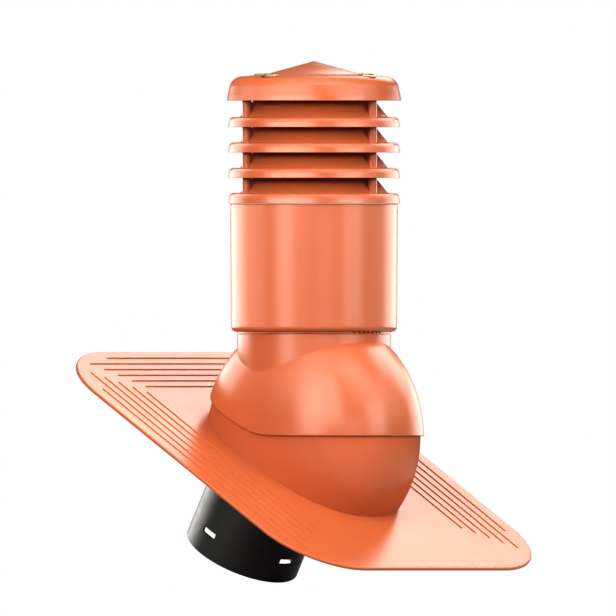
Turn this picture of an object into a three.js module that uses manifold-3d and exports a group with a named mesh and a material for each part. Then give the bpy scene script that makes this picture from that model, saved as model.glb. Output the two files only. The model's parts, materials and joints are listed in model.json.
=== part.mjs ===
// Roof ventilation chimney: a vented terracotta-plastic stack on a roof plate, with a duct spigot below.
// Millimetres, +Z up and along the stack, +X across the roof, -Y down the slope.
// The origin is on the underside of the roof plate, on its centre line.
import * as THREE from "three";
import { mergeVertices } from "three/addons/utils/BufferGeometryUtils.js";
import Module from "manifold-3d";

// Roof and plate
const ROOF_PITCH = THREE.MathUtils.degToRad(30);
const PLATE_LENGTH = 550;
const PLATE_WIDTH = 450;
const PLATE_CORNER = 100;
const PLATE_THICKNESS = 4;
const PLATE_BEVEL = 1.2;
const ORIGIN_TO_PLATE_CENTRE = 150;

// Water ribs on the uphill edge and both side edges of the plate
const RIB_COUNT = 6;
const RIB_PITCH = 14.4;
const RIB_WIDTH = 1.5;
const RIB_HEIGHT = 1.1;
const RIB_SIDE_INSET = 20;
const RIB_UPHILL_INSET = 16.5;
const RIB_END_OUTERMOST = 94;
const RIB_END_SECOND = 52;
const RIB_END_STEP = 12.4;

// Dome and hood: bulbs turned about the same axis across the roof, the swivel axis.
// Their profile is a superellipse, a little squarer than an ellipse.
const BULB_POWER = 2.3;
const BULB_ROUNDS = 40;
const SWIVEL_ABOVE_PLATE = 35;
const SWIVEL_GAP = 1.4;
const DOME_FOOT_FILLET = 3;
const DOME_FOOT_SAG = 0.3;
const DOME_TOP_ABOVE_SWIVEL = 95.8;
const DOME_TOP_TILT = THREE.MathUtils.degToRad(18.5);
const HOOD_RADIUS = 153.5;
const HOOD_HALF_WIDTH = 110.5;
const HOOD_WALL = 2.6;
const DOME_INSET = HOOD_WALL + SWIVEL_GAP;
const DOME_WALL = 3;
const HOOD_RIM_RISE = THREE.MathUtils.degToRad(22.5);
const HOOD_RIM_BEND_AT = -5;
const HOOD_RIM_BEND_WIDTH = 16;
const HOOD_RIM_ROUNDS = 30;
const NECK_RADIUS = 98;
const NECK_TOP = 129.4;
const NECK_BLEND = 4;

// Duct spigot
const PIPE_RADIUS = 75;
const PIPE_WALL = 3;
const PIPE_LENGTH_BELOW_PLATE = 159;
const PIPE_UPHILL_OF_CENTRE = 37.5;
const PIPE_FLANGE_RADIUS = 84;
const PIPE_FLANGE_THICKNESS = 3;
const SLOT_COUNT = 4;
const SLOT_LENGTH = 23;
const SLOT_HEIGHT = 7.5;
const SLOT_ABOVE_END = 30.5;

// Stack: heights are above the swivel axis
const JACKET_BOTTOM = 130.6;
const JACKET_SHOULDER = 133.4;
const JACKET_TOP = 295;
const JACKET_RADIUS_BOTTOM = 105.5;
const JACKET_RADIUS_TOP = 106.7;
const JACKET_WALL = 3;
const JACKET_EDGE_ROUND = 7;
const JACKET_LIP_RADIUS = 97.8;
const JACKET_TONGUE_RADIUS = 94.8;
const JACKET_TONGUE_WALL = 2.4;
const JACKET_TONGUE_REACH = 6;
const NOTCH_COUNT = 7;
const NOTCH_SPACING = THREE.MathUtils.degToRad(4.55);
const NOTCH_WIDTH = 4;
const NOTCH_HEIGHT = 2.4;
const COLLAR_BOTTOM = 295.4;
const COLLAR_HEIGHT = 13.4;
const COLLAR_SKIRT_WALL = 5.6;
const RING_BOTTOMS = { lower: 327.9, middle: 360.2, upper: 392.5 };
const RING_HEIGHT = 12.8;
const RING_RADIUS = 109.5;
const RING_SHOULDER_RADIUS = 107.7;
const RING_WALL = 2.8;
const RING_EDGE_ROUND = 6.5;
const CONE_FOOT_RADIUS = 94;
const CONE_TOP_RADIUS = 76.5;
const CONE_TOP_ABOVE_RIM = 21.7;
const POST_COUNT = 3;
const POST_RADIUS = 6;
const POST_CIRCLE = 92.6;
const POST_FIRST_ANGLE = THREE.MathUtils.degToRad(-8);
const CAP_BOTTOM = 426.2;
const CAP_RADIUS = 110.8;
const CAP_SHOULDER_RADIUS = 109.3;
const CAP_WALL = 2.8;
const CAP_SHOULDER_ROUND = 16.5;
const CAP_SHOULDER_TOP = 456.5;
const CAP_BREAK_RADIUS = 61;
const CAP_BREAK_HEIGHT = 459.7;
const CAP_APEX = 476.5;
const SCREW_NAMES = ["front", "left", "back", "right"];
const SCREW_CIRCLE = 88;
const SCREW_FIRST_ANGLE = THREE.MathUtils.degToRad(-5.5);
const SCREW_TILT = THREE.MathUtils.degToRad(6);
const SCREW_WASHER_RADIUS = 11.5;
const SCREW_WASHER_THICKNESS = 1.4;
const SCREW_HEAD_RADIUS = 8;
const SCREW_HEAD_HEIGHT = 1.5;
const SCREW_HEAD_SIDES = 6;
const SCREW_SHANK_RADIUS = 2.1;
const SCREW_SHANK_LENGTH = 16;

const FIT_GAP = 0.3;
const SUNK = 2;
const CUT_OVERRUN = 10;
const AROUND = 32;
const AROUND_SHELL = 48;
const AROUND_SMALL = 8;

const TERRACOTTA = new THREE.MeshStandardMaterial({ color: 0xe0673a, roughness: 0.3, metalness: 0 });
const BLACK = new THREE.MeshStandardMaterial({ color: 0x1c1c1e, roughness: 0.45, metalness: 0 });
const YELLOW_ZINC = new THREE.MeshStandardMaterial({ color: 0xd9b15a, roughness: 0.3, metalness: 1 });

const wasm = await Module();
wasm.setup();

// Closed three.js geometry to a solid, and back.
function solidOf(geometry) {
  const bare = geometry.clone();
  bare.deleteAttribute("normal");
  bare.deleteAttribute("uv");
  const merged = mergeVertices(bare, 1e-3);
  const vertProperties = new Float32Array(merged.attributes.position.array);
  const triVerts = new Uint32Array(merged.index.array);
  return new wasm.Manifold(new wasm.Mesh({ numProp: 3, vertProperties, triVerts }));
}

function geometryOf(solid) {
  const mesh = solid.getMesh();
  const geometry = new THREE.BufferGeometry();
  geometry.setAttribute("position", new THREE.BufferAttribute(mesh.vertProperties, 3));
  geometry.setIndex(new THREE.BufferAttribute(mesh.triVerts, 1));
  geometry.computeVertexNormals();
  return geometry;
}

// A closed section of radius and height, turned about +Z.
function turned(section, segments = AROUND) {
  const geometry = new THREE.LatheGeometry(section, segments);
  return geometry.rotateX(Math.PI / 2);
}

function point(radius, height) {
  return new THREE.Vector2(radius, height);
}

// Points on a quarter round from the outer wall in to the level top, without its two ends.
function quarterRound(centreRadius, centreHeight, round, steps) {
  return Array.from({ length: steps - 1 }, (_, i) => {
    const angle = ((i + 1) / steps) * (Math.PI / 2);
    return point(centreRadius + round * Math.cos(angle), centreHeight + round * Math.sin(angle));
  });
}

// A closed ring whose section loop may change on the way round.
function ring(segments, loopAt) {
  const positions = [];
  const indices = [];
  for (let i = 0; i < segments; i++) {
    for (const p of loopAt((2 * Math.PI * i) / segments)) positions.push(p.x, p.y, p.z);
  }
  const count = positions.length / 3 / segments;
  for (let i = 0; i < segments; i++) {
    for (let j = 0; j < count; j++) {
      const next = (i + 1) % segments;
      const a = i * count + j;
      const b = next * count + j;
      const c = next * count + ((j + 1) % count);
      const d = i * count + ((j + 1) % count);
      indices.push(a, b, c, a, c, d);
    }
  }
  const geometry = new THREE.BufferGeometry();
  geometry.setAttribute("position", new THREE.Float32BufferAttribute(positions, 3));
  return geometry.setIndex(indices);
}

// An upright cylinder standing on the given height.
function upright(radius, bottom, top, x, y, sides = AROUND_SMALL) {
  const geometry = new THREE.CylinderGeometry(radius, radius, top - bottom, sides);
  return geometry.rotateX(Math.PI / 2).translate(x, y, (top + bottom) / 2);
}

// A place on a circle about the stack, by the angle from straight down the slope towards -X.
function onCircle(radius, angle) {
  return { x: -radius * Math.sin(angle), y: -radius * Math.cos(angle) };
}

// Base plate with its dome, in the plate's own frame: +Z out of the roof, +Y up the slope.
function plateOutline() {
  const halfWidth = PLATE_WIDTH / 2;
  const halfLength = PLATE_LENGTH / 2;
  const shape = new THREE.Shape();
  const corners = [
    [1, 1, 0],
    [-1, 1, Math.PI / 2],
    [-1, -1, Math.PI],
    [1, -1, Math.PI * 1.5],
  ];
  for (const [sx, sy, start] of corners) {
    const x = sx * (halfWidth - PLATE_CORNER);
    const y = sy * (halfLength - PLATE_CORNER);
    shape.absarc(x, y, PLATE_CORNER, start, start + Math.PI / 2, false);
  }
  return shape;
}

function plateSlab() {
  const slab = new THREE.ExtrudeGeometry(plateOutline(), {
    depth: PLATE_THICKNESS - 2 * PLATE_BEVEL,
    bevelEnabled: true,
    bevelThickness: PLATE_BEVEL,
    bevelSize: PLATE_BEVEL,
    bevelOffset: -PLATE_BEVEL,
    bevelSegments: 1,
    curveSegments: 7,
  });
  return slab.translate(0, 0, PLATE_BEVEL);
}

function ribEnd(index) {
  return index === 0 ? RIB_END_OUTERMOST : RIB_END_SECOND + RIB_END_STEP * (index - 1);
}

function ribBar(width, length, x, y) {
  const bar = new THREE.BoxGeometry(width, length, RIB_HEIGHT + SUNK);
  return bar.translate(x, y, PLATE_THICKNESS + (RIB_HEIGHT - SUNK) / 2);
}

function plateRibs() {
  const bars = [];
  for (let i = 0; i < RIB_COUNT; i++) {
    const sideX = PLATE_WIDTH / 2 - RIB_SIDE_INSET - RIB_PITCH * i;
    const sideLength = PLATE_LENGTH - 2 * ribEnd(i);
    bars.push(ribBar(RIB_WIDTH, sideLength, sideX, 0));
    bars.push(ribBar(RIB_WIDTH, sideLength, -sideX, 0));
    const uphillY = PLATE_LENGTH / 2 - RIB_UPHILL_INSET - RIB_PITCH * i;
    bars.push(ribBar(PLATE_WIDTH - 2 * ribEnd(i), RIB_WIDTH, 0, uphillY));
  }
  return bars;
}

// A point on the hood's bulb, or on one inset from it, seen from the swivel axis.
function bulbPoint(inset, latitude, angle) {
  const level = Math.cos(latitude);
  const towards = new THREE.Vector3(level * Math.cos(angle), level * Math.sin(angle), Math.sin(latitude));
  const across = Math.abs(towards.x) / (HOOD_HALF_WIDTH - inset);
  const about = Math.hypot(towards.y, towards.z) / (HOOD_RADIUS - inset);
  const reach = (across ** BULB_POWER + about ** BULB_POWER) ** (-1 / BULB_POWER);
  return towards.multiplyScalar(reach);
}

// Latitude where a plane at that height above the swivel axis, falling up the slope, cuts the bulb.
function bulbLatitude(inset, angle, height, fall = 0) {
  const slant = Math.tan(fall) * Math.sin(angle);
  let latitude = Math.PI / 2;
  for (let i = 0; i < BULB_ROUNDS; i++) {
    const reach = bulbPoint(inset, latitude, angle).length();
    latitude = Math.asin(height / (reach * Math.hypot(1, slant))) - Math.atan(slant);
  }
  return latitude;
}

function domePoint(inset, latitude, angle) {
  const swivel = new THREE.Vector3(0, 0, PLATE_THICKNESS + SWIVEL_ABOVE_PLATE);
  return bulbPoint(inset, latitude, angle).add(swivel);
}

// Section of the dome's wall: the foot with its fillet sinks into the plate.
function domeLoop(angle) {
  const outerSteps = 5;
  const innerSteps = 4;
  const outward = new THREE.Vector3(Math.cos(angle), Math.sin(angle), 0);
  const topOuter = bulbLatitude(DOME_INSET, angle, DOME_TOP_ABOVE_SWIVEL, DOME_TOP_TILT);
  const footOuter = bulbLatitude(DOME_INSET, angle, DOME_FOOT_FILLET - SWIVEL_ABOVE_PLATE);
  const foot = domePoint(DOME_INSET, footOuter, angle);
  const loop = [];
  const footPoints = [
    [1, -SUNK],
    [1, DOME_FOOT_SAG],
    [DOME_FOOT_SAG, DOME_FOOT_SAG * DOME_FOOT_FILLET],
  ];
  for (const [out, above] of footPoints) {
    const p = foot.clone().addScaledVector(outward, out * DOME_FOOT_FILLET);
    p.z = PLATE_THICKNESS + above;
    loop.push(p);
  }
  for (let i = 0; i <= outerSteps; i++) {
    const latitude = THREE.MathUtils.lerp(footOuter, topOuter, i / outerSteps);
    loop.push(domePoint(DOME_INSET, latitude, angle));
  }
  const innerInset = DOME_INSET + DOME_WALL;
  const topInner = bulbLatitude(innerInset, angle, DOME_TOP_ABOVE_SWIVEL, DOME_TOP_TILT);
  const footInner = bulbLatitude(innerInset, angle, -SUNK - SWIVEL_ABOVE_PLATE);
  for (let i = 0; i <= innerSteps; i++) {
    const latitude = THREE.MathUtils.lerp(topInner, footInner, i / innerSteps);
    loop.push(domePoint(innerInset, latitude, angle));
  }
  return loop;
}

function basePlate() {
  const holeRadius = PIPE_RADIUS + FIT_GAP;
  const over = PLATE_THICKNESS + CUT_OVERRUN;
  const hole = upright(holeRadius, -CUT_OVERRUN, over, 0, PIPE_UPHILL_OF_CENTRE, AROUND);
  let plate = solidOf(plateSlab()).subtract(solidOf(hole));
  plate = plate.add(solidOf(ring(AROUND_SHELL, domeLoop)));
  for (const bar of plateRibs()) plate = plate.add(solidOf(bar));
  return geometryOf(plate).translate(0, ORIGIN_TO_PLATE_CENTRE, 0);
}

// Duct spigot, square to the plate, with a flange that rests on the plate inside the dome.
function spigotPipe() {
  const inside = PIPE_RADIUS - PIPE_WALL;
  const end = PLATE_THICKNESS - PIPE_LENGTH_BELOW_PLATE;
  const seat = PLATE_THICKNESS + FIT_GAP;
  const section = [
    point(PIPE_RADIUS, end),
    point(PIPE_RADIUS, seat),
    point(PIPE_FLANGE_RADIUS, seat),
    point(PIPE_FLANGE_RADIUS, seat + PIPE_FLANGE_THICKNESS),
    point(inside, seat + PIPE_FLANGE_THICKNESS),
    point(inside, end),
    point(PIPE_RADIUS, end),
  ];
  let pipe = solidOf(turned(section));
  for (let i = 0; i < SLOT_COUNT; i++) {
    const slot = new THREE.BoxGeometry(SLOT_LENGTH, PIPE_WALL + CUT_OVERRUN, SLOT_HEIGHT);
    slot.translate(0, inside + PIPE_WALL / 2, end + SLOT_ABOVE_END);
    slot.rotateZ((i * 2 * Math.PI) / SLOT_COUNT);
    pipe = pipe.subtract(solidOf(slot));
  }
  const along = ORIGIN_TO_PLATE_CENTRE + PIPE_UPHILL_OF_CENTRE;
  return geometryOf(pipe).translate(0, along, 0);
}

// Hood: at each height the section is the larger of the neck's circle and the bulb's oval, blended.
function blendedMax(a, b, blend) {
  const near = Math.max(blend - Math.abs(a - b), 0) / blend;
  return Math.max(a, b) + (near * near * blend) / 4;
}

function hoodRadius(angle, height, inset) {
  const bulb = bulbPoint(inset, bulbLatitude(inset, angle, height), angle);
  return blendedMax(NECK_RADIUS - inset, Math.hypot(bulb.x, bulb.y), NECK_BLEND);
}

// The lower rim is level down the slope and rises up the slope, with a soft bend between.
function rimHeight(y) {
  const beyond = y - HOOD_RIM_BEND_AT;
  return (Math.tan(HOOD_RIM_RISE) / 2) * (beyond + Math.hypot(beyond, HOOD_RIM_BEND_WIDTH));
}

function hoodWallPoints(angle, inset, steps) {
  let rim = 0;
  for (let i = 0; i < HOOD_RIM_ROUNDS; i++) {
    rim = rimHeight(hoodRadius(angle, rim, inset) * Math.sin(angle));
  }
  const lowest = Math.asin(rim / HOOD_RADIUS);
  const highest = Math.asin(NECK_TOP / HOOD_RADIUS);
  return Array.from({ length: steps + 1 }, (_, i) => {
    const height = HOOD_RADIUS * Math.sin(THREE.MathUtils.lerp(lowest, highest, i / steps));
    const radius = hoodRadius(angle, height, inset);
    return new THREE.Vector3(radius * Math.cos(angle), radius * Math.sin(angle), height);
  });
}

function hood() {
  const outerSteps = 7;
  const innerSteps = 7;
  return ring(AROUND_SHELL, (angle) => {
    const outside = hoodWallPoints(angle, 0, outerSteps);
    const inside = hoodWallPoints(angle, HOOD_WALL, innerSteps);
    return [...outside, ...inside.reverse()];
  });
}

// Jacket: slightly tapered pipe with a rounded, turned-in lower edge, a notched lip above the neck
// and a tongue that reaches down inside the neck.
function jacket() {
  const tongueInside = JACKET_TONGUE_RADIUS - JACKET_TONGUE_WALL;
  const tongueEnd = JACKET_BOTTOM - JACKET_TONGUE_REACH;
  const roundCentre = JACKET_RADIUS_BOTTOM - JACKET_EDGE_ROUND;
  const edge = quarterRound(roundCentre, -JACKET_SHOULDER - JACKET_EDGE_ROUND, JACKET_EDGE_ROUND, 2);
  const lowerEdge = edge.map((p) => point(p.x, -p.y));
  const section = [
    point(JACKET_LIP_RADIUS, JACKET_BOTTOM),
    point(JACKET_LIP_RADIUS, JACKET_SHOULDER),
    ...lowerEdge,
    point(JACKET_RADIUS_BOTTOM, JACKET_SHOULDER + JACKET_EDGE_ROUND),
    point(JACKET_RADIUS_TOP, JACKET_TOP),
    point(JACKET_RADIUS_TOP - JACKET_WALL, JACKET_TOP),
    point(JACKET_RADIUS_BOTTOM - JACKET_WALL, JACKET_SHOULDER + JACKET_EDGE_ROUND),
    point(tongueInside, JACKET_SHOULDER + JACKET_WALL),
    point(tongueInside, tongueEnd),
    point(JACKET_TONGUE_RADIUS, tongueEnd),
    point(JACKET_TONGUE_RADIUS, JACKET_BOTTOM),
    point(JACKET_LIP_RADIUS, JACKET_BOTTOM),
  ];
  let solid = solidOf(turned(section));
  const notchDepth = JACKET_LIP_RADIUS - JACKET_TONGUE_RADIUS;
  for (let i = 0; i < NOTCH_COUNT; i++) {
    const notch = new THREE.BoxGeometry(NOTCH_WIDTH, 2 * notchDepth, 2 * NOTCH_HEIGHT);
    notch.translate(0, -JACKET_LIP_RADIUS, JACKET_BOTTOM);
    notch.rotateZ((i - (NOTCH_COUNT - 1) / 2) * NOTCH_SPACING);
    solid = solid.subtract(solidOf(notch));
  }
  return geometryOf(solid);
}

// A louvre: rounded rim with a skirt, a level shoulder, and an air cone rising from it.
function louvreSection(bottom, height, skirtWall) {
  const top = bottom + height;
  const under = top - RING_WALL;
  const coneTop = top + CONE_TOP_ABOVE_RIM;
  const run = CONE_FOOT_RADIUS - CONE_TOP_RADIUS;
  const slope = run / CONE_TOP_ABOVE_RIM;
  const coneWall = RING_WALL * Math.hypot(1, slope);
  const footInside = CONE_FOOT_RADIUS - coneWall + slope * RING_WALL;
  const roundCentre = RING_SHOULDER_RADIUS - RING_EDGE_ROUND;
  return [
    point(RING_RADIUS, bottom),
    point(RING_SHOULDER_RADIUS, top - RING_EDGE_ROUND),
    ...quarterRound(roundCentre, top - RING_EDGE_ROUND, RING_EDGE_ROUND, 2),
    point(roundCentre, top),
    point(CONE_FOOT_RADIUS, top),
    point(CONE_TOP_RADIUS, coneTop),
    point(CONE_TOP_RADIUS - coneWall, coneTop),
    point(footInside, under),
    point(RING_SHOULDER_RADIUS - skirtWall, under),
    point(RING_RADIUS - skirtWall, bottom),
    point(RING_RADIUS, bottom),
  ];
}

// A louvre with three posts that carry the underside of the louvre above.
function louvre(bottom, height, skirtWall, postTop) {
  let solid = solidOf(turned(louvreSection(bottom, height, skirtWall)));
  for (let i = 0; i < POST_COUNT; i++) {
    const place = onCircle(POST_CIRCLE, POST_FIRST_ANGLE + (i * 2 * Math.PI) / POST_COUNT);
    const foot = bottom + height - RING_WALL / 2;
    solid = solid.add(solidOf(upright(POST_RADIUS, foot, postTop, place.x, place.y)));
  }
  return geometryOf(solid);
}

function postTopUnder(bottomAbove) {
  return bottomAbove + RING_HEIGHT - RING_WALL - FIT_GAP;
}

// Rain cap: deep rim, rounded shoulder, nearly level top and a low cone.
function capSurface(inset) {
  const round = CAP_SHOULDER_ROUND - inset;
  const centre = CAP_SHOULDER_RADIUS - CAP_SHOULDER_ROUND;
  const centreHeight = CAP_SHOULDER_TOP - CAP_SHOULDER_ROUND;
  return [
    point(CAP_RADIUS - inset, CAP_BOTTOM),
    point(CAP_SHOULDER_RADIUS - inset, centreHeight),
    ...quarterRound(centre, centreHeight, round, 3),
    point(centre, CAP_SHOULDER_TOP - inset),
    point(CAP_BREAK_RADIUS, CAP_BREAK_HEIGHT - inset),
    point(0, CAP_APEX - inset),
  ];
}

// The cap's top surface at the screws falls gently outwards.
function screwPlace(index) {
  const place = onCircle(SCREW_CIRCLE, SCREW_FIRST_ANGLE + (index * 2 * Math.PI) / SCREW_NAMES.length);
  const shoulder = CAP_SHOULDER_RADIUS - CAP_SHOULDER_ROUND;
  const fall = (SCREW_CIRCLE - CAP_BREAK_RADIUS) / (shoulder - CAP_BREAK_RADIUS);
  const height = THREE.MathUtils.lerp(CAP_BREAK_HEIGHT, CAP_SHOULDER_TOP, fall);
  const outward = new THREE.Vector3(place.x, place.y, 0).normalize();
  const axis = outward.multiplyScalar(Math.sin(SCREW_TILT)).setZ(Math.cos(SCREW_TILT));
  const turn = new THREE.Quaternion().setFromUnitVectors(new THREE.Vector3(0, 0, 1), axis);
  return { position: new THREE.Vector3(place.x, place.y, height), turn };
}

// Screw holes, right through the cap and into whatever post stands below.
function screwHoles() {
  return SCREW_NAMES.map((_, i) => {
    const { position, turn } = screwPlace(i);
    const deep = SCREW_SHANK_LENGTH + CAP_WALL;
    const hole = upright(SCREW_SHANK_RADIUS + FIT_GAP, -deep, CUT_OVERRUN, 0, 0);
    return hole.applyQuaternion(turn).translate(position.x, position.y, position.z);
  });
}

function drilled(geometry) {
  return geometryOf(screwHoles().reduce((left, hole) => left.subtract(solidOf(hole)), solidOf(geometry)));
}

function rainCap() {
  return drilled(turned([...capSurface(CAP_WALL).reverse(), ...capSurface(0)]));
}

// Screw with a captive washer, its seat at its own origin.
function capScrew() {
  const seat = 2 * FIT_GAP;
  const washerTop = seat + SCREW_WASHER_THICKNESS;
  const section = [
    point(0, -SCREW_SHANK_LENGTH),
    point(SCREW_SHANK_RADIUS, -SCREW_SHANK_LENGTH + SCREW_SHANK_RADIUS),
    point(SCREW_SHANK_RADIUS, seat),
    point(SCREW_WASHER_RADIUS, seat),
    point(SCREW_WASHER_RADIUS, washerTop - SCREW_WASHER_THICKNESS / 2),
    point(SCREW_HEAD_RADIUS, washerTop),
    point(0, washerTop),
  ];
  const headTop = washerTop + SCREW_HEAD_HEIGHT;
  const hex = upright(SCREW_HEAD_RADIUS, washerTop - seat, headTop, 0, 0, SCREW_HEAD_SIDES);
  return geometryOf(solidOf(turned(section, AROUND_SMALL)).add(solidOf(hex)));
}

function named(name, geometry, material) {
  const mesh = new THREE.Mesh(geometry, material);
  mesh.name = name;
  return mesh;
}

// What is fixed to the roof lies in the plate's slope.
const onRoof = new THREE.Group();
onRoof.rotation.x = ROOF_PITCH;
onRoof.add(named("base_plate", basePlate(), TERRACOTTA));
onRoof.add(named("spigot_pipe", spigotPipe(), BLACK));

// The stack stands upright on the swivel axis.
const stack = new THREE.Group();
stack.position.set(0, ORIGIN_TO_PLATE_CENTRE, PLATE_THICKNESS + SWIVEL_ABOVE_PLATE);
stack.position.applyAxisAngle(new THREE.Vector3(1, 0, 0), ROOF_PITCH);
stack.add(named("hood", hood(), TERRACOTTA));
stack.add(named("jacket", jacket(), TERRACOTTA));
const collarPosts = postTopUnder(RING_BOTTOMS.lower);
const collar = louvre(COLLAR_BOTTOM, COLLAR_HEIGHT, COLLAR_SKIRT_WALL, collarPosts);
stack.add(named("collar", collar, TERRACOTTA));
const capPosts = CAP_SHOULDER_TOP - 2 * CAP_WALL + FIT_GAP;
const postTops = {
  lower: postTopUnder(RING_BOTTOMS.middle),
  middle: postTopUnder(RING_BOTTOMS.upper),
  upper: capPosts,
};
for (const [level, bottom] of Object.entries(RING_BOTTOMS)) {
  const geometry = louvre(bottom, RING_HEIGHT, RING_WALL, postTops[level]);
  const finished = level === "upper" ? drilled(geometry) : geometry;
  stack.add(named("louvre_ring_" + level, finished, TERRACOTTA));
}
stack.add(named("rain_cap", rainCap(), TERRACOTTA));
SCREW_NAMES.forEach((side, i) => {
  const { position, turn } = screwPlace(i);
  const screw = named("cap_screw_" + side, capScrew(), YELLOW_ZINC);
  screw.position.copy(position);
  screw.quaternion.copy(turn);
  stack.add(screw);
});

const chimney = new THREE.Group();
chimney.add(onRoof, stack);

export default chimney;
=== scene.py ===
import json
import math

import bpy
from mathutils import Matrix, Vector

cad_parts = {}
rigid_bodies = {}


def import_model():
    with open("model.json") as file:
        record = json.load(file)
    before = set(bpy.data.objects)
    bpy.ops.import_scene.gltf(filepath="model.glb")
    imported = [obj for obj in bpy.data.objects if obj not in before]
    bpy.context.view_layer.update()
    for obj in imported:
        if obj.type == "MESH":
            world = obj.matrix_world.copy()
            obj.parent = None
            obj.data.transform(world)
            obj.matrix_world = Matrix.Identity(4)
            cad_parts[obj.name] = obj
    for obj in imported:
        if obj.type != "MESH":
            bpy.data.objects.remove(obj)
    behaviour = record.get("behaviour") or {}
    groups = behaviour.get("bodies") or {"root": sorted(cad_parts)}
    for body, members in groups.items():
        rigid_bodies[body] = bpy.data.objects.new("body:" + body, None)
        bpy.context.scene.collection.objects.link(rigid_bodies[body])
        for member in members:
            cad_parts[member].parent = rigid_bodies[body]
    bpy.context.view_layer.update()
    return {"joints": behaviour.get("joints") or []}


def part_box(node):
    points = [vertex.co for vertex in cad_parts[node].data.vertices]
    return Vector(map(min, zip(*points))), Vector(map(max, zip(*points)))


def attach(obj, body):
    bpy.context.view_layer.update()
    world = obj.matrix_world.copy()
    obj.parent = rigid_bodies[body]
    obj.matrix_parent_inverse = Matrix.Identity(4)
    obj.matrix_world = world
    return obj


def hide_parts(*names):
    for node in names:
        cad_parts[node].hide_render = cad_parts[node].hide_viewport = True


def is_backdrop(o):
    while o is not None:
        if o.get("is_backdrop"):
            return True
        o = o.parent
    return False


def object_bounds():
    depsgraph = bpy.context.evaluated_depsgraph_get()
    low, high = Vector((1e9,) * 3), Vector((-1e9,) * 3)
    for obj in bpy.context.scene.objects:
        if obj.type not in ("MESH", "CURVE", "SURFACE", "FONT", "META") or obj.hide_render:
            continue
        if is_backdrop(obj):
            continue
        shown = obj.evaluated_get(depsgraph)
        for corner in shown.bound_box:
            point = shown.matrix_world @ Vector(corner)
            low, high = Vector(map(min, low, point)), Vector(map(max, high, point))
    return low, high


# Looks of a roof ventilation chimney: smooth moulded pieces that stand for the frame's plain solids.
# Modelling sizes are millimetres; a piece becomes metres when it is made.
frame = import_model()

MM = 0.001
SWIVEL = Vector(frame["joints"][0]["pos_m"])
ROOF_PITCH = math.radians(30)

# How finely the surfaces are made
AROUND = 288
AROUND_PLATE = 512
AROUND_SMALL = 48
AROUND_HOLE = 24
ROUND_STEPS = 6
SMALL_ROUND_STEPS = 4
NEARLY_ZERO = 1e-9
SHARP_ANGLE = math.radians(24)

# Plate, ribs and dome, in the roof's slope: +Z out of the roof, +Y up the slope
PLATE_LENGTH = 550
PLATE_WIDTH = 450
PLATE_CORNER = 100
PLATE_THICKNESS = 4
PLATE_TOP_ROUND = 1.6
PLATE_TOP_ROUND_STEPS = 5
PLATE_UNDER_ROUND = 0.8
EDGE_TO_DOME_SHARES = (0.02, 0.25, 0.5, 0.75, 0.98)
ORIGIN_TO_PLATE_CENTRE = 150
RIB_COUNT = 6
RIB_PITCH = 14.4
RIB_WIDTH = 1.5
RIB_HEIGHT = 1.1
RIB_ROUND = 0.3
RIB_END_FLAT = 0.02
RIB_SUNK = 1
RIB_SIDE_INSET = 20
RIB_UPHILL_INSET = 16.5
RIB_END_OUTERMOST = 94
RIB_END_SECOND = 52
RIB_END_STEP = 12.4
SWIVEL_ABOVE_PLATE = 35
DOME_WALL = 3
DOME_FOOT_FILLET = 0.4
DOME_FOOT_STEPS = 8
DOME_TOP_ABOVE_SWIVEL = 95.8
DOME_TOP_TILT = math.radians(18.5)
DOME_STEPS = 24

# Duct spigot
PIPE_RADIUS = 75
PIPE_WALL = 3
PIPE_LENGTH_BELOW_PLATE = 159
PIPE_UPHILL_OF_CENTRE = 37.5
PIPE_FLANGE_RADIUS = 84
PIPE_FLANGE_THICKNESS = 3
PIPE_FLANGE_UNDER_ROUND = 0.5
PIPE_FLANGE_TOP_ROUND = 0.8
PIPE_END_ROUND = 1
SLOT_COUNT = 4
SLOT_LENGTH = 23
SLOT_HEIGHT = 7.5
SLOT_CORNER = 1.2
SLOT_ABOVE_END = 30.5

# Hood and dome: bulbs about the swivel axis, with a profile a little squarer than an ellipse
BULB_POWER = 2.3
BULB_PASSES = 16
HOOD_RADIUS = 153.5
HOOD_HALF_WIDTH = 110.5
HOOD_WALL = 2.6
SWIVEL_GAP = 1.4
DOME_INSET = HOOD_WALL + SWIVEL_GAP
HOOD_RIM_RISE = math.radians(22.5)
HOOD_RIM_BEND_AT = -5
HOOD_RIM_BEND_WIDTH = 16
HOOD_RIM_ROUND = 0.9
HOOD_RIM_PASSES = 30
HOOD_STEPS = 48
NECK_STEPS = 8
CREASE_PASSES = 30
NECK_RADIUS = 98
NECK_TOP = 129.4

# Jacket
JACKET_BOTTOM = 130.6
JACKET_SHOULDER = 132.4
JACKET_TOP = 295
JACKET_RADIUS_BOTTOM = 105.5
JACKET_RADIUS_TOP = 106.7
JACKET_WALL = 3
JACKET_EDGE_ROUND = 7
JACKET_TOP_ROUND = 1.2
JACKET_TOP_INNER_ROUND = 0.8
JACKET_LIP_RADIUS = 97.8
JACKET_LIP_ROUND = 0.4
JACKET_LIP_FILLET = 0.3
JACKET_TONGUE_RADIUS = 94.8
JACKET_TONGUE_WALL = 2.4
JACKET_TONGUE_REACH = 6
JACKET_TONGUE_ROUND = 0.5
NOTCH_COUNT = 7
NOTCH_SPACING = math.radians(4.55)
NOTCH_WIDTH = 4
NOTCH_HEIGHT = 2.4
NOTCH_CORNER = 0.8

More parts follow.
